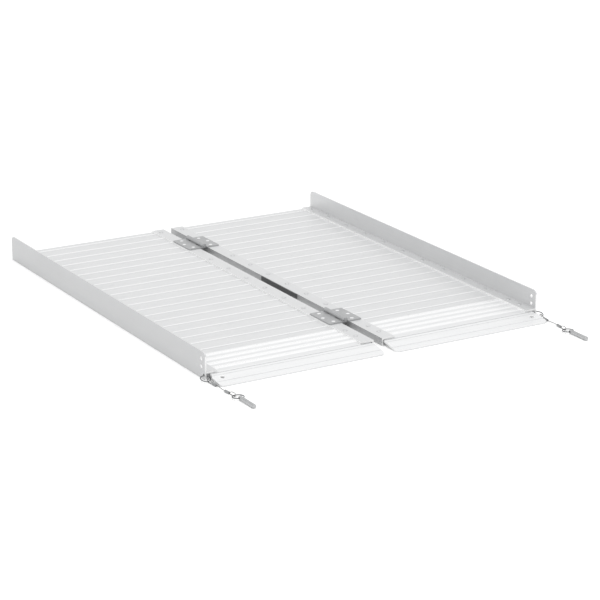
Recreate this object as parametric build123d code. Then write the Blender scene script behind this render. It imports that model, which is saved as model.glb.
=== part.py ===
from build123d import *
import os
from math import asin, atan, cos, degrees, hypot, pi, radians, sin

os.makedirs("parts", exist_ok=True)

# Folding loading ramp: two ramp halves side by side, joined by two butt hinges over the middle gap.
# X runs across the ramp, Y along it towards the far end, Z up. The origin is on the ground, at the
# centre of the footprint. Lengths along the ramp are given as a distance from its far end.

# Rails
HALF_WIDTH = 371.0
RAIL_LENGTH = 864.0
CURB_HEIGHT = 52.0
CURB_CORNER = 10.0
WALL = 3.0
HALF_GAP = 9.4
FLANGE_TOP = 15.0
FOOT_TOP = 2.0
DECK_TOP = 12.0
CURB_FLANGE_IN = 345.0
INNER_FLANGE_OUT = 38.0
FOOT_END = 852.0

# Deck planks
PLANK_COUNT = 10
PLANK_PITCH = 76.3
PLANK_JOINT = 0.3
PLANK_IN = 15.0
PLANK_OUT = 367.0
PLANK_SKIN = 1.8
PLANK_WEB = 2.0
CELL_COUNT = 3
RIB_WIDTH = 4.0
RIB_HEIGHT = 1.4
RIB_SHARES = (0.25, 0.75)
RIB_GAP = 0.1
RIB_IN = INNER_FLANGE_OUT + RIB_GAP
RIB_OUT = CURB_FLANGE_IN - RIB_GAP
RIB_SINK = 0.5

# End profile, with the socket that holds the lip's bead
END_START = PLANK_COUNT * PLANK_PITCH
SOCKET_BACK = 857.5
BEAD_AT = 861.0
BEAD_Z = 7.4
BEAD_R = 3.0
BEAD_CLEARANCE = 0.06
BEAD_INSET = 1.0
SOCKET_R = DECK_TOP - BEAD_Z
SOCKET_IN = 15.0
SOCKET_OUT = 360.5
MOUTH_LOW = -52.0
MOUTH_HIGH = 40.0
RIDGE_FIRST = 775.0
RIDGE_PITCH = 23.0
RIDGE_COUNT = 4
RIDGE_BASE = 15.0
RIDGE_CROWN = 8.0
RIDGE_HEIGHT = 1.6

# Lip: places along it are measured from the bead, before it is tilted down to the ground
LIP_IN = 12.0
LIP_OUT = 364.5
LIP_THICK = 3.2
LIP_RISE = 1.0
LIP_ROOT = 4.9
LIP_END = 50.0
NECK_END = 9.0
NECK_LOW = -1.2
NECK_HIGH = 1.6
LIP_CORNER = 8.0
LIP_NOTCH_U = 7.9
LIP_NOTCH_R = 11.2
LIP_HOLE_R = 4.5
LIP_HOLE_X = 345.5
LIP_HOLE_U = 22.0
LIP_GROOVES = (13.0, 36.0)
GROOVE_WIDTH = 3.0
GROOVE_DEPTH = 0.5
LIP_ANGLE = degrees(asin(BEAD_Z / hypot(LIP_END, LIP_RISE)) + atan(LIP_RISE / LIP_END))
LIP_COS = cos(radians(LIP_ANGLE))
LIP_SIN = sin(radians(LIP_ANGLE))

# The lips' lower edges touch the ground at the near end; the footprint is centred between both ends
LIP_TIP = BEAD_AT + LIP_END * LIP_COS + (LIP_RISE + LIP_THICK) * LIP_SIN
FAR_Y = LIP_TIP / 2

# Rivets
RIVET_R = 4.6
RIVET_HEAD = 1.3
RIVET_ROUND = 1.1
RIVET_SHANK_R = 2.0
RIVET_TAIL_R = 3.0
RIVET_TAIL = 1.4
CURB_RIVET_X = 356.5
INNER_RIVET_X = 26.0
PLANK_RIVET = 21.5
END_RIVETS = (788.5, 826.3)

# Butt hinges
HINGE_CENTRES = (135.0, 710.5)
HINGE_LENGTH = 75.0
KNUCKLES = 5
KNUCKLE_GAP = 0.2
KNUCKLE_R = 5.0
HINGE_PIN_R = 3.0
HINGE_CLEARANCE = 0.05
HINGE_PIN_PROUD = 1.0
HINGE_PIN_CHAMFER = 0.6
FOLD_Z = 19.5
LEAF_THICK = 2.3
LEAF_OUT = 36.5
LEAF_IN = 6.2
LEAF_CORNER = 2.5
SCREW_HEAD_R = 3.8
SCREW_HEAD = 1.6
SCREW_R = 2.0
SCREW_SPOTS = ((21.0, -27.0), (28.5, 0.0), (21.0, 27.0))

# Holes in the curb plate
CURB_HOLE_R = 3.4
CURB_HOLE_AT = 850.0
CURB_HOLE_HEIGHTS = (23.0, 38.0)
ANCHOR_HOLE_R = 2.8
ANCHOR_HOLE_AT = 859.7
ANCHOR_HOLE_Z = 8.4

# Carrying grip on the inner rail's lower edge
GRIP_START = 406.0
GRIP_END = 547.0
GRIP_WALL = 2.0
GRIP_TOP = 14.4
GRIP_INNER_TOP = 11.4

# Lanyard with the locking pin, lying on the ground beside the lip: places are (X, distance)
CABLE_R = 0.75
BEND_SHARE = 0.45
ANCHOR_RING_R = 9.5
ANCHOR_WIRE_R = 0.9
ANCHOR_RING_AT = (372.4, 868.8)
ANCHOR_RING_FAR_Z = 7.3
ANCHOR_RING_NEAR_Z = 2.6
PIN_RING_R = 10.8
PIN_RING_FAR_Z = 2.7
PIN_WIRE_R = 1.0
PIN_RING_AT = (364.5, 975.3)
PIN_R = 4.0
PIN_LENGTH = 52.0
PIN_ROUND = 1.0
PIN_HOLE_R = 2.1
PIN_HOLE_INSET = 3.6
FERRULE_R = 2.4
FERRULE_LENGTH = 14.0
FERRULE_CHAMFER = 0.5
FERRULE_Z = 2.5
FERRULE_1_AT = (370.0, 896.7)
FERRULE_2_AT = (368.3, 942.0)
EYE_1_REACH = 14.5
EYE_2_REACH = 18.5
EYE_SPLAY = 3.5
EYE_CLOSE = 8.0
EYE_LOW = -1.65
EYE_HIGH = 4.4
EYE_ROOT = 0.9
EYE_RADII = (6.0, 2.6, 2.6, 4.5)
CABLE_LEAD = 7.0
CABLE_MIDDLE = (369.0, 919.4)

# Extra reach of the shapes that are only used for cutting
CUT = 1.0


def along(distance):
    return FAR_Y - distance


def block(x0, x1, start, end, z0, z1):
    size = (x1 - x0, end - start, z1 - z0)
    centre = ((x0 + x1) / 2, along((start + end) / 2), (z0 + z1) / 2)
    return Pos(*centre) * Box(*size)


def rod_x(x0, x1, distance, z, radius):
    return Pos((x0 + x1) / 2, along(distance), z) * Rot(0, 90, 0) * Cylinder(radius, x1 - x0)


def rod_y(x, z, start, end, radius):
    return Pos(x, along((start + end) / 2), z) * Rot(90, 0, 0) * Cylinder(radius, end - start)


def rod_z(x, distance, z0, z1, radius):
    return Pos(x, along(distance), (z0 + z1) / 2) * Cylinder(radius, z1 - z0)


def prism_y(points, start, end):
    face = Plane.XZ.offset(-along(start)) * make_face(Polyline(*points, close=True))
    return extrude(face, amount=end - start)


def prism_x(points, x0, x1):
    placed = [(along(distance), z) for distance, z in points]
    face = Plane.YZ.offset(x0) * make_face(Polyline(*placed, close=True))
    return extrude(face, amount=x1 - x0)


def plank_rivet(index):
    return index * PLANK_PITCH + PLANK_RIVET


def deck_rivet_spots():
    return [plank_rivet(i) for i in range(PLANK_COUNT)] + list(END_RIVETS)


def inner_rivet_spots():
    reach = HINGE_LENGTH / 2 + RIVET_R
    return [s for s in deck_rivet_spots() if all(abs(s - c) > reach for c in HINGE_CENTRES)]


def screw_spots():
    return [(x, centre + offset) for centre in HINGE_CENTRES for x, offset in SCREW_SPOTS]


def curb_rail():
    points = [
        (HALF_WIDTH, 0),
        (HALF_WIDTH, CURB_HEIGHT),
        (HALF_WIDTH - WALL, CURB_HEIGHT),
        (HALF_WIDTH - WALL, FLANGE_TOP),
        (CURB_FLANGE_IN, FLANGE_TOP),
        (CURB_FLANGE_IN, DECK_TOP),
        (HALF_WIDTH - WALL, DECK_TOP),
        (HALF_WIDTH - WALL, FOOT_TOP),
        (CURB_FLANGE_IN, FOOT_TOP),
        (CURB_FLANGE_IN, 0),
    ]
    rail = prism_y(points, 0, RAIL_LENGTH)
    corners = rail.edges().filter_by(Axis.X).group_by(Axis.Z)[-1]
    rail = fillet(corners, CURB_CORNER)
    rail -= block(CURB_FLANGE_IN - CUT, HALF_WIDTH - WALL, FOOT_END, RAIL_LENGTH + CUT, -CUT, FOOT_TOP)
    plate_in, plate_out = HALF_WIDTH - WALL - CUT, HALF_WIDTH + CUT
    for height in CURB_HOLE_HEIGHTS:
        rail -= rod_x(plate_in, plate_out, CURB_HOLE_AT, height, CURB_HOLE_R)
    rail -= rod_x(plate_in, plate_out, ANCHOR_HOLE_AT, ANCHOR_HOLE_Z, ANCHOR_HOLE_R)
    for distance in deck_rivet_spots():
        rail -= rod_z(CURB_RIVET_X, distance, DECK_TOP - CUT, FLANGE_TOP + CUT, RIVET_SHANK_R)
    return rail


def inner_rail():
    web_in = HALF_GAP + WALL
    points = [
        (HALF_GAP, 0),
        (HALF_GAP, FLANGE_TOP),
        (INNER_FLANGE_OUT, FLANGE_TOP),
        (INNER_FLANGE_OUT, DECK_TOP),
        (web_in, DECK_TOP),
        (web_in, FOOT_TOP),
        (INNER_FLANGE_OUT, FOOT_TOP),
        (INNER_FLANGE_OUT, 0),
    ]
    rail = prism_y(points, 0, RAIL_LENGTH)
    rail -= block(web_in, INNER_FLANGE_OUT + CUT, FOOT_END, RAIL_LENGTH + CUT, -CUT, FOOT_TOP)
    rail -= block(HALF_GAP - CUT, web_in + GRIP_WALL, GRIP_START, GRIP_END, -CUT, FOOT_TOP)
    for distance in inner_rivet_spots():
        rail -= rod_z(INNER_RIVET_X, distance, DECK_TOP - CUT, FLANGE_TOP + CUT, RIVET_SHANK_R)
    for x, distance in screw_spots():
        rail -= rod_z(x, distance, DECK_TOP - CUT, FLANGE_TOP + CUT, SCREW_R)
    return rail


def rib(distance, base, crown, height):
    points = [
        (distance - base / 2, DECK_TOP - RIB_SINK),
        (distance - base / 2, DECK_TOP),
        (distance - crown / 2, DECK_TOP + height),
        (distance + crown / 2, DECK_TOP + height),
        (distance + base / 2, DECK_TOP),
        (distance + base / 2, DECK_TOP - RIB_SINK),
    ]
    return prism_x(points, RIB_IN, RIB_OUT)


def hollow(body, cell_start, cell):
    floor, roof = FOOT_TOP + PLANK_SKIN, DECK_TOP - PLANK_SKIN
    return body - block(PLANK_IN - CUT, PLANK_OUT + CUT, cell_start, cell_start + cell, floor, roof)


def rivet_holes(body, distances, inner_distances):
    under = DECK_TOP - PLANK_SKIN - CUT
    for distance in distances:
        body -= rod_z(CURB_RIVET_X, distance, under, DECK_TOP + CUT, RIVET_SHANK_R)
    for distance in inner_distances:
        body -= rod_z(INNER_RIVET_X, distance, under, DECK_TOP + CUT, RIVET_SHANK_R)
    return body


def plank(index):
    start = index * PLANK_PITCH
    end = start + PLANK_PITCH - PLANK_JOINT
    body = block(PLANK_IN, PLANK_OUT, start, end, FOOT_TOP, DECK_TOP)
    cell = (end - start - (CELL_COUNT + 1) * PLANK_WEB) / CELL_COUNT
    for i in range(CELL_COUNT):
        body = hollow(body, start + PLANK_WEB + i * (cell + PLANK_WEB), cell)
    for share in RIB_SHARES:
        body += rib(start + share * PLANK_PITCH, RIB_WIDTH, RIB_WIDTH / 2, RIB_HEIGHT)
    spot = plank_rivet(index)
    inner = [spot] if spot in inner_rivet_spots() else []
    return rivet_holes(body, [spot], inner)


def end_profile():
    body = block(PLANK_IN, PLANK_OUT, END_START, SOCKET_BACK, FOOT_TOP, DECK_TOP)
    cell = (FOOT_END - END_START - (CELL_COUNT + 1) * PLANK_WEB) / CELL_COUNT
    for i in range(CELL_COUNT):
        body = hollow(body, END_START + PLANK_WEB + i * (cell + PLANK_WEB), cell)
    for i in range(RIDGE_COUNT):
        body += rib(RIDGE_FIRST + i * RIDGE_PITCH, RIDGE_BASE, RIDGE_CROWN, RIDGE_HEIGHT)
    body += rod_x(SOCKET_IN, SOCKET_OUT, BEAD_AT, BEAD_Z, SOCKET_R)
    body += block(SOCKET_IN, SOCKET_OUT, SOCKET_BACK - CUT, BEAD_AT, BEAD_Z, DECK_TOP)
    body -= rod_x(SOCKET_IN - CUT, SOCKET_OUT + CUT, BEAD_AT, BEAD_Z, BEAD_R + BEAD_CLEARANCE)
    reach = 2 * SOCKET_R
    mouth = [(BEAD_AT, BEAD_Z)]
    for angle in (MOUTH_LOW, (MOUTH_LOW + MOUTH_HIGH) / 2, MOUTH_HIGH):
        mouth.append((BEAD_AT + reach * cos(radians(angle)), BEAD_Z + reach * sin(radians(angle))))
    body -= prism_x(mouth, SOCKET_IN - CUT, SOCKET_OUT + CUT)
    return rivet_holes(body, END_RIVETS, END_RIVETS)


def lip_block(x0, x1, start, end, low, high):
    return block(x0, x1, BEAD_AT + start, BEAD_AT + end, BEAD_Z + low, BEAD_Z + high)


def lip():
    top = LIP_RISE + LIP_THICK
    plate = lip_block(LIP_IN, LIP_OUT, LIP_ROOT, LIP_END, LIP_RISE, top)
    tip_corners = plate.edges().filter_by(Axis.Z).group_by(Axis.Y)[0]
    plate = fillet(tip_corners, LIP_CORNER)
    notch_x, notch_at = ANCHOR_RING_AT[0], BEAD_AT + LIP_NOTCH_U
    plate -= rod_z(notch_x, notch_at, BEAD_Z, BEAD_Z + top + CUT, LIP_NOTCH_R)
    bead_in, bead_out = SOCKET_IN + BEAD_INSET, SOCKET_OUT - BEAD_INSET
    neck = lip_block(bead_in, bead_out, 0, NECK_END, NECK_LOW, NECK_HIGH)
    flat_lip = plate + neck + rod_x(bead_in, bead_out, BEAD_AT, BEAD_Z, BEAD_R)
    for groove in LIP_GROOVES:
        start, end = groove - GROOVE_WIDTH / 2, groove + GROOVE_WIDTH / 2
        flat_lip -= lip_block(LIP_IN - CUT, LIP_OUT + CUT, start, end, top - GROOVE_DEPTH, top + CUT)
    flat_lip -= rod_z(LIP_HOLE_X, BEAD_AT + LIP_HOLE_U, BEAD_Z, BEAD_Z + top + CUT, LIP_HOLE_R)
    bead_axis = Axis((0, along(BEAD_AT), BEAD_Z), (1, 0, 0))
    return flat_lip.rotate(bead_axis, LIP_ANGLE)


def rivet(x, distance):
    head = rod_z(x, distance, FLANGE_TOP, FLANGE_TOP + RIVET_HEAD, RIVET_R)
    head = fillet(head.edges().group_by(Axis.Z)[-1], RIVET_ROUND)
    under = DECK_TOP - PLANK_SKIN
    shank = rod_z(x, distance, under, FLANGE_TOP, RIVET_SHANK_R)
    tail = rod_z(x, distance, under - RIVET_TAIL, under, RIVET_TAIL_R)
    return head + shank + tail


def rivet_row(x, distances):
    return Compound(children=[rivet(x, distance) for distance in distances])


def knuckle_span(centre, index):
    length = HINGE_LENGTH / KNUCKLES
    start = centre - HINGE_LENGTH / 2 + index * length
    return start + KNUCKLE_GAP / 2, start + length - KNUCKLE_GAP / 2


def screw_cone(x, distance):
    top = FLANGE_TOP + LEAF_THICK
    return Pos(x, along(distance), top - SCREW_HEAD / 2) * Cone(SCREW_R, SCREW_HEAD_R, SCREW_HEAD)


def hinge_leaf(centre, knuckles):
    start, end = centre - HINGE_LENGTH / 2, centre + HINGE_LENGTH / 2
    top = FLANGE_TOP + LEAF_THICK
    leaf = block(LEAF_IN, LEAF_OUT, start, end, FLANGE_TOP, top)
    outer = leaf.edges().filter_by(Axis.Z).group_by(Axis.X)[-1]
    leaf = fillet(outer, LEAF_CORNER)
    for index in knuckles:
        knuckle_start, knuckle_end = knuckle_span(centre, index)
        leaf += block(0, LEAF_IN, knuckle_start, knuckle_end, FLANGE_TOP, top)
        leaf += rod_y(0, FOLD_Z, knuckle_start, knuckle_end, KNUCKLE_R)
    leaf -= rod_y(0, FOLD_Z, start - CUT, end + CUT, HINGE_PIN_R + HINGE_CLEARANCE)
    for x, offset in SCREW_SPOTS:
        leaf -= rod_z(x, centre + offset, FLANGE_TOP - CUT, top + CUT, SCREW_R)
        leaf -= screw_cone(x, centre + offset)
    return leaf


def hinge_pin(centre):
    reach = HINGE_LENGTH / 2 + HINGE_PIN_PROUD
    pin = rod_y(0, FOLD_Z, centre - reach, centre + reach, HINGE_PIN_R)
    return chamfer(pin.edges().filter_by(GeomType.CIRCLE), HINGE_PIN_CHAMFER)


def hinge_screw(x, distance):
    shank_top = FLANGE_TOP + LEAF_THICK - SCREW_HEAD / 2
    return rod_z(x, distance, DECK_TOP, shank_top, SCREW_R) + screw_cone(x, distance)


def hinge_screws():
    return Compound(children=[hinge_screw(x, distance) for x, distance in screw_spots()])


def grip_sleeve():
    web_in = HALF_GAP + WALL
    sleeve = block(HALF_GAP - GRIP_WALL, HALF_GAP, GRIP_START, GRIP_END, 0, GRIP_TOP)
    sleeve += block(HALF_GAP - GRIP_WALL, web_in + GRIP_WALL, GRIP_START, GRIP_END, 0, FOOT_TOP)
    sleeve += block(web_in, web_in + GRIP_WALL, GRIP_START, GRIP_END, 0, GRIP_INNER_TOP)
    return sleeve


def ring(place, far_z, near_z, ring_r, wire_r):
    tilt = degrees(asin((near_z - far_z) / (2 * ring_r)))
    centre = (place[0], along(place[1]), (far_z + near_z) / 2)
    return Pos(*centre) * Rot(-tilt, 0, 0) * Torus(ring_r, wire_r)


def heading(start, end):
    return (Vector(*end, 0) - Vector(*start, 0)).normalized()


FERRULE_1_WAY = heading(ANCHOR_RING_AT, FERRULE_1_AT)
FERRULE_2_WAY = heading(FERRULE_2_AT, PIN_RING_AT)


def ferrule_end(place, way, side):
    x = place[0] + side * FERRULE_LENGTH / 2 * way.X
    distance = place[1] + side * FERRULE_LENGTH / 2 * way.Y
    return x, distance


def ferrule(place, way):
    start, end = ferrule_end(place, way, -1), ferrule_end(place, way, 1)
    direction = (end[0] - start[0], start[1] - end[1], 0)
    plane = Plane(origin=(start[0], along(start[1]), FERRULE_Z), z_dir=direction)
    body = extrude(plane * Circle(FERRULE_R), amount=FERRULE_LENGTH)
    return chamfer(body.edges().filter_by(GeomType.CIRCLE), FERRULE_CHAMFER)


def swept_wire(path, radius):
    return sweep(Plane(origin=path @ 0, z_dir=path % 0) * Circle(radius), path=path)


def cable_eye(place, way, side, reach):
    root = ferrule_end(place, way, side)
    outline = [
        (0, -EYE_ROOT),
        (EYE_SPLAY, EYE_LOW),
        (reach, EYE_LOW),
        (reach, EYE_HIGH),
        (EYE_CLOSE, EYE_HIGH),
        (0, EYE_ROOT),
    ]
    points = []
    for out, up in outline:
        x = root[0] + side * way.X * out
        distance = root[1] + side * way.Y * out
        points.append((x, along(distance), FERRULE_Z + up))
    return swept_wire(FilletPolyline(*points, radius=EYE_RADII), CABLE_R)


def cable_route():
    start = ferrule_end(FERRULE_1_AT, FERRULE_1_WAY, 1)
    end = ferrule_end(FERRULE_2_AT, FERRULE_2_WAY, -1)
    after_start = (start[0] + CABLE_LEAD * FERRULE_1_WAY.X, start[1] + CABLE_LEAD * FERRULE_1_WAY.Y)
    before_end = (end[0] - CABLE_LEAD * FERRULE_2_WAY.X, end[1] - CABLE_LEAD * FERRULE_2_WAY.Y)
    route = (start, after_start, CABLE_MIDDLE, before_end, end)
    return [Vector(x, along(distance), FERRULE_Z) for x, distance in route]


def corner_radii(points):
    radii = []
    for before, corner, after in zip(points, points[1:], points[2:]):
        run_in, run_out = corner - before, after - corner
        half_turn = radians(run_in.get_angle(run_out)) / 2
        radii.append(BEND_SHARE * min(run_in.length, run_out.length) * cos(half_turn) / sin(half_turn))
    return radii


def cable():
    points = cable_route()
    radii = corner_radii(points)
    path = FilletPolyline(*points, radius=radii)
    tube = swept_wire(path, CABLE_R)
    expected = pi * CABLE_R**2 * path.length
    print("cable points", [tuple(round(v, 2) for v in p) for p in points])
    print("cable radii", [round(r, 1) for r in radii], "length", round(path.length, 2))
    print("cable volume", round(tube.volume, 2), "expected", round(expected, 2))
    return tube


def locking_pin():
    x = PIN_RING_AT[0]
    hole_at = PIN_RING_AT[1] + PIN_RING_R
    start = hole_at - PIN_HOLE_INSET
    pin = rod_y(x, PIN_R, start, start + PIN_LENGTH, PIN_R)
    pin = fillet(pin.edges().filter_by(GeomType.CIRCLE), PIN_ROUND)
    return pin - rod_x(x - 2 * PIN_R, x + 2 * PIN_R, hole_at, PIN_R, PIN_HOLE_R)


def half_nodes():
    nodes = {"curb_rail": curb_rail(), "inner_rail": inner_rail()}
    for index in range(PLANK_COUNT):
        nodes[f"plank_{index + 1:02d}"] = plank(index)
    nodes["end_profile"] = end_profile()
    nodes["lip"] = lip()
    nodes["curb_rivets"] = rivet_row(CURB_RIVET_X, deck_rivet_spots())
    nodes["inner_rivets"] = rivet_row(INNER_RIVET_X, inner_rivet_spots())
    nodes["hinge_screws"] = hinge_screws()
    nodes["grip_sleeve"] = grip_sleeve()
    nodes["anchor_ring"] = ring(
        ANCHOR_RING_AT, ANCHOR_RING_FAR_Z, ANCHOR_RING_NEAR_Z, ANCHOR_RING_R, ANCHOR_WIRE_R
    )
    eye_1 = cable_eye(FERRULE_1_AT, FERRULE_1_WAY, -1, EYE_1_REACH)
    eye_2 = cable_eye(FERRULE_2_AT, FERRULE_2_WAY, 1, EYE_2_REACH)
    nodes["cable_eyes"] = Compound(children=[eye_1, eye_2])
    ferrules = [ferrule(FERRULE_1_AT, FERRULE_1_WAY), ferrule(FERRULE_2_AT, FERRULE_2_WAY)]
    nodes["ferrules"] = Compound(children=ferrules)
    nodes["cable"] = cable()
    nodes["pin_ring"] = ring(PIN_RING_AT, PIN_RING_FAR_Z, PIN_R, PIN_RING_R, PIN_WIRE_R)
    nodes["locking_pin"] = locking_pin()
    return nodes


def save(shape, name):
    export_step(shape, f"parts/{name}.step")


for name, shape in half_nodes().items():
    save(shape, f"right_{name}")
    save(mirror(shape, about=Plane.YZ), f"left_{name}")

for place, centre in zip(("far", "near"), HINGE_CENTRES):
    save(hinge_leaf(centre, (1, 3)), f"right_hinge_leaf_{place}")
    save(mirror(hinge_leaf(centre, (0, 2, 4)), about=Plane.YZ), f"left_hinge_leaf_{place}")
    save(hinge_pin(centre), f"hinge_pin_{place}")

hole_rise = LIP_RISE + LIP_THICK / 2
hole_y = along(BEAD_AT + LIP_HOLE_U * LIP_COS + hole_rise * LIP_SIN)
hole_z = BEAD_Z - LIP_HOLE_U * LIP_SIN + hole_rise * LIP_COS
print("far end y", round(FAR_Y, 3), "bead y", round(along(BEAD_AT), 3), "lip angle", round(LIP_ANGLE, 3))
print("lip hole y z", round(hole_y, 3), round(hole_z, 3), "curb hole y", round(along(CURB_HOLE_AT), 3))
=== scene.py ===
import math

import bpy
from mathutils import Matrix, Vector


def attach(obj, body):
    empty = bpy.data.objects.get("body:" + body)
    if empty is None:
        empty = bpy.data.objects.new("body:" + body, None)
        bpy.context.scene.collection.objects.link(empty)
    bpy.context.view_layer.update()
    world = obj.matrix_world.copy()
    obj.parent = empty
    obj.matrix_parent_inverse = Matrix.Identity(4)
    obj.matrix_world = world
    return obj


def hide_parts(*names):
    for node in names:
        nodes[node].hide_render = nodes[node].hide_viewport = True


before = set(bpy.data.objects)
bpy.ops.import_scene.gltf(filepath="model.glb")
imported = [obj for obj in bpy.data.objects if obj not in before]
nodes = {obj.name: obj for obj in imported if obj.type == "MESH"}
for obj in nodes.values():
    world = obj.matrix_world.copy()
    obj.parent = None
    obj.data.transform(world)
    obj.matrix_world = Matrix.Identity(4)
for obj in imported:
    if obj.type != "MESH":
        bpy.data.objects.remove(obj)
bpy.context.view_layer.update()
SIDES = {"left": -1, "right": 1}

# Camera: a long lens in front of the left lip, 1.4 m up, turned 31 degrees to the right
CAMERA_PLACE = Vector((-2.1555, -3.7445, 1.3841))
CAMERA_YAW = -0.5365
CAMERA_PITCH = -0.3147
CAMERA_ROLL = 0.0047
CAMERA_LENS = 133.2
SENSOR = 36.0
CAMERA_NEAR = 0.1
CAMERA_FAR = 50.0


def make_camera():
    forward = Vector((-math.sin(CAMERA_YAW), math.cos(CAMERA_YAW), 0)) * math.cos(CAMERA_PITCH)
    forward.z = math.sin(CAMERA_PITCH)
    level = Vector((math.cos(CAMERA_YAW), math.sin(CAMERA_YAW), 0))
    above = level.cross(forward)
    right = level * math.cos(CAMERA_ROLL) + above * math.sin(CAMERA_ROLL)
    up = above * math.cos(CAMERA_ROLL) - level * math.sin(CAMERA_ROLL)
    data = bpy.data.cameras.new("camera")
    data.lens = CAMERA_LENS
    data.sensor_width = SENSOR
    data.clip_start = CAMERA_NEAR
    data.clip_end = CAMERA_FAR
    camera = bpy.data.objects.new("camera", data)
    bpy.context.scene.collection.objects.link(camera)
    turn = Matrix((right, up, -forward)).transposed().to_4x4()
    camera.matrix_world = Matrix.Translation(CAMERA_PLACE) @ turn
    bpy.context.scene.camera = camera


make_camera()

# Cords: the tether of each locking pin, from its first ferrule to its second
CABLE_DIAMETER = 0.0015
CABLE_ROUTE = (
    (0.36940, -0.44818, 0.0025),
    (0.36880, -0.45515, 0.0025),
    (0.36900, -0.46390, 0.0025),
    (0.36989, -0.47259, 0.0025),
    (0.36909, -0.47955, 0.0025),
)


def make_cable(side):
    sign = SIDES[side]
    curve = bpy.data.curves.new(f"{side}_tether", "CURVE")
    curve.dimensions = "3D"
    # Each point's radius scales this depth down to the cable's own, which keeps the curve's bounds true
    curve.bevel_depth = 1.0
    curve.bevel_resolution = 5
    curve.resolution_u = 24
    curve.use_fill_caps = True
    spline = curve.splines.new("NURBS")
    spline.points.add(len(CABLE_ROUTE) - 1)
    for point, (x, y, z) in zip(spline.points, CABLE_ROUTE):
        point.co = (sign * x, y, z, 1)
        point.radius = CABLE_DIAMETER / 2
    spline.order_u = 3
    spline.use_endpoint_u = True
    cable = bpy.data.objects.new(f"{side}_tether", curve)
    bpy.context.scene.collection.objects.link(cable)
    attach(cable, f"{side}_panel")
    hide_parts(f"{side}_cable")
    x, y, z = CABLE_ROUTE[0]
    return cable


cables = [make_cable(side) for side in SIDES]


# Materials
class Graph:
    """A small helper that builds one node material."""

    def __init__(self, name):
        self.material = bpy.data.materials.new(name)
        self.material.use_nodes = True
        self.tree = self.material.node_tree
        self.shader = self.tree.nodes["Principled BSDF"]
        self.place = self.add("ShaderNodeTexCoord").outputs["Object"]

    def add(self, kind, **settings):
        node = self.tree.nodes.new(kind)
        for key, value in settings.items():
            setattr(node, key, value)
        return node

    def feed(self, socket, value):
        if isinstance(value, bpy.types.NodeSocket):
            self.tree.links.new(value, socket)
        else:
            socket.default_value = value

    def scaled(self, scale):
        mapping = self.add("ShaderNodeMapping")
        self.feed(mapping.inputs["Vector"], self.place)
        mapping.inputs["Scale"].default_value = scale
        return mapping.outputs["Vector"]

    def noise(self, scale, detail, rough):
        node = self.add("ShaderNodeTexNoise")
        self.feed(node.inputs["Vector"], self.scaled(scale))
        node.inputs["Scale"].default_value = 1.0
        node.inputs["Detail"].default_value = detail
        node.inputs["Roughness"].default_value = rough
        return node.outputs["Fac"]

    def math(self, operation, first, second=0.0):
        node = self.add("ShaderNodeMath", operation=operation)
        self.feed(node.inputs[0], first)
        self.feed(node.inputs[1], second)
        return node.outputs[0]

    def spread(self, value, low, high, to_low=0.0, to_high=1.0):
        node = self.add("ShaderNodeMapRange")
        for socket, number in zip(("Value", "From Min", "From Max", "To Min", "To Max"),
                                  (value, low, high, to_low, to_high)):
            self.feed(node.inputs[socket], number)
        return node.outputs["Result"]

    def mix(self, share, first, second):
        node = self.add("ShaderNodeMix", data_type="RGBA")
        self.feed(node.inputs[0], share)
        self.feed(node.inputs[6], first)
        self.feed(node.inputs[7], second)
        return node.outputs[2]

    def axis(self, name):
        node = self.add("ShaderNodeSeparateXYZ")
        self.feed(node.inputs[0], self.place)
        return node.outputs[name]

    def bump(self, height, distance, strength=1.0, below=None):
        node = self.add("ShaderNodeBump")
        node.inputs["Distance"].default_value = distance
        node.inputs["Strength"].default_value = strength
        self.feed(node.inputs["Height"], height)
        if below is not None:
            self.feed(node.inputs["Normal"], below)
        return node.outputs["Normal"]

    def finish(self, colour, metallic, roughness, normal=None):
        self.feed(self.shader.inputs["Base Color"], colour)
        self.feed(self.shader.inputs["Metallic"], metallic)
        self.feed(self.shader.inputs["Roughness"], roughness)
        if normal is not None:
            self.feed(self.shader.inputs["Normal"], normal)
        return self.material


def grey(value, warmth=0.0):
    return (value + warmth, value, value - warmth, 1.0)


# Where the metal looks different, in metres: X from the centre line, Y from the middle, Z from the ground
GAP_FACE = 0.0098
BELOW_FLANGE = 0.0146
OUTER_FACE = 0.37085
PLATE_IN = 0.3682
PLATE_OUT = 0.3708
NEAR_END = -0.4082
FLANGE_EDGES = (0.038, 0.345)
EDGE_HIGHLIGHT_REACH = 0.0003
CURB_HOLE_HEIGHTS = (0.023, 0.038)
CURB_HOLE_Y = -0.3945
CURB_HOLE_REACH = 0.004
LIP_HOLE_X = 0.3455
LIP_HOLE_Y = -0.4276
LIP_HOLE_REACH = 0.0052
CREST_HEIGHT = 0.0127
CREST_BLEND = 0.0003
CREST_POLISH = 0.12

# Tones of the painted shade, painted highlights and painted light on that metal
GAP_SHADE_TONE = 0.45
OUTER_SHADE_TONE = 0.52
EDGE_HIGHLIGHT_TONE = 0.90
END_HIGHLIGHT_TONE = 0.82
BORE_LIGHT_TONE = 0.97

# Grain of each finish, in repeats per metre
LINES_ALONG_X = (4.0, 900.0, 900.0)
LINES_ALONG_Y = (900.0, 4.0, 900.0)
BLOTCH_SCALE = (14.0, 14.0, 14.0)
SPECK_SCALE = (420.0, 420.0, 420.0)
PATCH_SCALE = (60.0, 60.0, 60.0)
LEATHER_SCALE = (900.0, 900.0, 900.0)
SCUFF_SCALE = (90.0, 20.0, 90.0)
STRAND_SCALE = (1400.0, 700.0, 1400.0)


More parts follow.
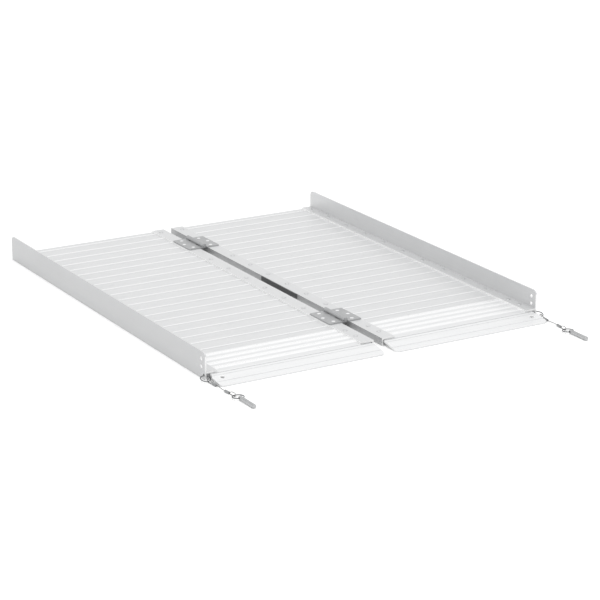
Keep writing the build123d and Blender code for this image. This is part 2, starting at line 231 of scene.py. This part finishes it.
def rail_painted_light(graph, colour):
    """Painted shade facing the middle gap and on the curb's outer face; painted highlights on the flange
    edges and near ends; painted light in the bores.
    """
    across = graph.math("ABSOLUTE", graph.axis("X"))
    along, height = graph.axis("Y"), graph.axis("Z")
    below_flange = graph.math("LESS_THAN", height, BELOW_FLANGE)
    in_gap = graph.math("MULTIPLY", graph.math("LESS_THAN", across, GAP_FACE), below_flange)
    # Painted shade on the inner rails' web faces in the middle gap, below the flange
    colour = graph.mix(in_gap, colour, grey(GAP_SHADE_TONE, -0.004))
    # Painted shade on the curb's outer face
    colour = graph.mix(graph.math("GREATER_THAN", across, OUTER_FACE), colour, grey(OUTER_SHADE_TONE, -0.004))
    # Painted highlight in a thin line along each flange edge
    for edge in FLANGE_EDGES:
        from_edge = graph.math("ABSOLUTE", graph.math("SUBTRACT", across, edge))
        colour = graph.mix(graph.math("LESS_THAN", from_edge, EDGE_HIGHLIGHT_REACH), colour, grey(EDGE_HIGHLIGHT_TONE))
    # Painted highlight on the rails' near end faces
    colour = graph.mix(graph.math("LESS_THAN", along, NEAR_END), colour, grey(END_HIGHLIGHT_TONE))
    past_inside = graph.math("GREATER_THAN", across, PLATE_IN)
    in_plate = graph.math("MULTIPLY", past_inside, graph.math("LESS_THAN", across, PLATE_OUT))
    # Painted light in the two bores through the curb plate near its near end
    for hole_height in CURB_HOLE_HEIGHTS:
        rise = graph.math("ABSOLUTE", graph.math("SUBTRACT", height, hole_height))
        run = graph.math("ABSOLUTE", graph.math("SUBTRACT", along, CURB_HOLE_Y))
        near = graph.math("LESS_THAN", graph.math("MAXIMUM", rise, run), CURB_HOLE_REACH)
        colour = graph.mix(graph.math("MULTIPLY", near, in_plate), colour, grey(BORE_LIGHT_TONE))
    return colour


def lip_painted_light(graph, colour):
    """Painted light in the bore of the lip's pin hole."""
    run_x = graph.math("SUBTRACT", graph.math("ABSOLUTE", graph.axis("X")), LIP_HOLE_X)
    run_y = graph.math("SUBTRACT", graph.axis("Y"), LIP_HOLE_Y)
    apart = graph.math("ADD", graph.math("MULTIPLY", run_x, run_x), graph.math("MULTIPLY", run_y, run_y))
    return graph.mix(graph.math("LESS_THAN", apart, LIP_HOLE_REACH ** 2), colour, grey(BORE_LIGHT_TONE))


def drawn_aluminium(name, tone, lines, roughness, crest=None, crest_highlight_tone=None, painted_light=None):
    """Extruded aluminium: fine die lines along the profile, faint blotches, and above crest a painted
    highlight with polish from use.
    """
    graph = Graph(name)
    streak = graph.noise(lines, detail=4.0, rough=0.6)
    blotch = graph.noise(BLOTCH_SCALE, detail=4.0, rough=0.6)
    speck = graph.noise(SPECK_SCALE, detail=2.0, rough=0.5)
    dull_line = grey(tone * 0.955, -0.004)
    bright_line = grey(tone * 1.02, -0.004)
    colour = graph.mix(graph.spread(streak, 0.3, 0.7), dull_line, bright_line)
    colour = graph.mix(graph.spread(blotch, 0.35, 0.7, to_high=0.35), colour, grey(tone * 0.93, -0.006))
    rough = graph.math("ADD", graph.spread(streak, 0.3, 0.7, roughness - 0.05, roughness + 0.07),
                       graph.spread(blotch, 0.35, 0.7, to_high=0.06))
    if crest is not None:
        # Above the crest height the colour is a painted highlight where the rib crests catch light; the
        # lower roughness is their polish from use
        crest_highlight_and_polish = graph.spread(graph.axis("Z"), crest - CREST_BLEND, crest + CREST_BLEND)
        patchy_crest_highlight = graph.math("MULTIPLY", crest_highlight_and_polish, graph.spread(speck, 0.2, 0.5, to_low=0.75))
        colour = graph.mix(patchy_crest_highlight, colour, grey(crest_highlight_tone, -0.002))
        rough = graph.math("SUBTRACT", rough, graph.math("MULTIPLY", crest_highlight_and_polish, CREST_POLISH))
    # Painted shade, painted highlights and painted light from the given function
    if painted_light is not None:
        colour = painted_light(graph, colour)
    normal = graph.bump(streak, distance=0.00006)
    normal = graph.bump(speck, distance=0.00003, strength=0.6, below=normal)
    return graph.finish(colour, metallic=0.4, roughness=rough, normal=normal)


def plated_steel(name, tone, roughness, scale=260.0, metallic=0.9):
    """Plated steel and other small metal parts: a fine crystalline mottle and small dull patches."""
    graph = Graph(name)
    mottle = graph.noise((scale, scale, scale), detail=3.0, rough=0.6)
    patch = graph.noise(PATCH_SCALE, detail=3.0, rough=0.5)
    dark_grain = grey(tone * 0.86, -0.006)
    light_grain = grey(tone * 1.08, -0.004)
    colour = graph.mix(graph.spread(mottle, 0.3, 0.7), dark_grain, light_grain)
    colour = graph.mix(graph.spread(patch, 0.45, 0.75, to_high=0.4), colour, grey(tone * 0.8, -0.004))
    rough = graph.spread(mottle, 0.3, 0.7, roughness - 0.06, roughness + 0.08)
    return graph.finish(colour, metallic, rough, graph.bump(mottle, distance=0.00004))


def grained_plastic(name, tone):
    """Dark moulded plastic with a fine leather grain."""
    graph = Graph(name)
    cells = graph.add("ShaderNodeTexVoronoi", feature="F1")
    graph.feed(cells.inputs["Vector"], graph.scaled(LEATHER_SCALE))
    cells.inputs["Scale"].default_value = 1.0
    scuff = graph.noise(SCUFF_SCALE, detail=4.0, rough=0.6)
    clean = grey(tone, -0.002)
    rubbed = grey(tone * 1.5, -0.003)
    colour = graph.mix(graph.spread(scuff, 0.4, 0.75, to_high=0.5), clean, rubbed)
    rough = graph.spread(scuff, 0.3, 0.7, to_low=0.5, to_high=0.68)
    grain = graph.bump(cells.outputs["Distance"], distance=0.00012, strength=0.8)
    return graph.finish(colour, metallic=0.0, roughness=rough, normal=grain)


def twisted_wire(name, tone):
    """Stranded wire rope: slanting strands with dark grooves between them."""
    graph = Graph(name)
    wave = graph.add("ShaderNodeTexWave", wave_type="BANDS", bands_direction="DIAGONAL")
    graph.feed(wave.inputs["Vector"], graph.scaled(STRAND_SCALE))
    wave.inputs["Scale"].default_value = 0.4
    wave.inputs["Distortion"].default_value = 0.6
    strand = wave.outputs["Fac"]
    colour = graph.mix(graph.spread(strand, 0.15, 0.6), grey(tone * 0.45), grey(tone * 1.1))
    grooves = graph.bump(strand, distance=0.00012)
    return graph.finish(colour, metallic=0.85, roughness=0.38, normal=grooves)


# Rails and lip take painted shade, highlights and light from their functions; planks and end profiles a
# painted highlight on their crests
RAIL = drawn_aluminium("rail_aluminium", tone=0.64, lines=LINES_ALONG_Y, roughness=0.40, painted_light=rail_painted_light)
PLANK = drawn_aluminium("plank_aluminium", tone=0.665, lines=LINES_ALONG_X, roughness=0.40,
                        crest=CREST_HEIGHT, crest_highlight_tone=0.86)
END = drawn_aluminium("end_aluminium", tone=0.725, lines=LINES_ALONG_X, roughness=0.38,
                      crest=CREST_HEIGHT, crest_highlight_tone=0.84)
LIP = drawn_aluminium("lip_aluminium", tone=0.78, lines=LINES_ALONG_X, roughness=0.40, painted_light=lip_painted_light)
RIVET = plated_steel("rivet_aluminium", tone=0.66, roughness=0.36, scale=500.0)
SCREW = plated_steel("screw_steel", tone=0.92, roughness=0.22, scale=700.0)
HINGE = plated_steel("hinge_steel", tone=0.43, roughness=0.42, metallic=0.7)
RING = plated_steel("ring_steel", tone=0.17, roughness=0.28, scale=500.0)
PIN = plated_steel("pin_steel", tone=0.48, roughness=0.30, scale=300.0)
FERRULE = plated_steel("ferrule_metal", tone=0.30, roughness=0.40, scale=600.0, metallic=0.4)
CABLE = twisted_wire("cable_steel", tone=0.36)
GRIP = grained_plastic("grip_plastic", tone=0.09)

# The finish of each kind of piece, by the start of its name without its side
FINISHES = {
    "curb_rail": RAIL,
    "inner_rail": RAIL,
    "plank": PLANK,
    "end_profile": END,
    "lip": LIP,
    "curb_rivets": RIVET,
    "inner_rivets": RIVET,
    "hinge_screws": SCREW,
    "hinge_leaf": HINGE,
    "hinge_pin": HINGE,
    "grip_sleeve": GRIP,
    "anchor_ring": RING,
    "pin_ring": RING,
    "cable_eyes": CABLE,
    "ferrules": FERRULE,
    "locking_pin": PIN,
}

# How far the sharp edges of each kind of piece are rounded off
EDGE_ROUND = {
    "curb_rail": 0.0006,
    "inner_rail": 0.0005,
    "plank": 0.0004,
    "end_profile": 0.0005,
    "lip": 0.0006,
    "hinge_leaf": 0.0005,
    "grip_sleeve": 0.0005,
}
SHARP_ANGLE = math.radians(35)


def kind_of(name):
    plain = name.removeprefix("left_").removeprefix("right_")
    return next((kind for kind in FINISHES if plain.startswith(kind)), None)


def round_edges(thing, width):
    bevel = thing.modifiers.new("edge", "BEVEL")
    bevel.width = width
    bevel.segments = 2
    bevel.limit_method = "ANGLE"
    bevel.angle_limit = SHARP_ANGLE
    bevel.harden_normals = False
    bevel.use_clamp_overlap = True


def dress(name, thing):
    kind = kind_of(name)
    if kind is None:
        return
    thing.data.materials.clear()
    thing.data.materials.append(FINISHES[kind])
    if kind in EDGE_ROUND:
        round_edges(thing, EDGE_ROUND[kind])


for name, thing in nodes.items():
    dress(name, thing)
for cable in cables:
    cable.data.materials.append(CABLE)


# Floor and light
FLOOR_REACH = 14.0
FLOOR_DROP = 0.0004
FLOOR_TONE = 0.93
FLOOR_GLOW = 0.1
KEY_PLACE = (-0.3, -0.3, 3.5)
KEY_SIZE = (2.6, 2.6)
KEY_POWER = 40
WORLD_STRENGTH = 1.0


def make_floor():
    mesh = bpy.data.meshes.new("floor")
    turns = ((-1, -1), (1, -1), (1, 1), (-1, 1))
    corners = [(FLOOR_REACH * x, FLOOR_REACH * y, 0) for x, y in turns]
    mesh.from_pydata(corners, [], [(0, 1, 2, 3)])
    floor = bpy.data.objects.new("floor", mesh)
    floor.location.z = -FLOOR_DROP
    bpy.context.scene.collection.objects.link(floor)
    graph = Graph("floor")
    mesh.materials.append(graph.finish(grey(FLOOR_TONE), metallic=0.0, roughness=0.9))
    graph.shader.inputs["Emission Color"].default_value = grey(1.0)
    graph.shader.inputs["Emission Strength"].default_value = FLOOR_GLOW
    graph.shader.inputs["Specular IOR Level"].default_value = 0.0


def soft_light(name, place, target, size, power):
    data = bpy.data.lights.new(name, "AREA")
    data.shape = "RECTANGLE"
    data.size, data.size_y = size
    data.energy = power
    light = bpy.data.objects.new(name, data)
    light.location = place
    light.rotation_euler = (Vector(target) - Vector(place)).to_track_quat("-Z", "Y").to_euler()
    bpy.context.scene.collection.objects.link(light)


def make_world():
    world = bpy.data.worlds.new("studio")
    world.use_nodes = True
    background = world.node_tree.nodes["Background"]
    background.inputs["Color"].default_value = (1.0, 1.0, 1.0, 1.0)
    background.inputs["Strength"].default_value = WORLD_STRENGTH
    bpy.context.scene.world = world


make_floor()
make_world()
soft_light("key", KEY_PLACE, target=(0, 0, 0), size=KEY_SIZE, power=KEY_POWER)
bpy.context.scene.view_settings.view_transform = "Standard"
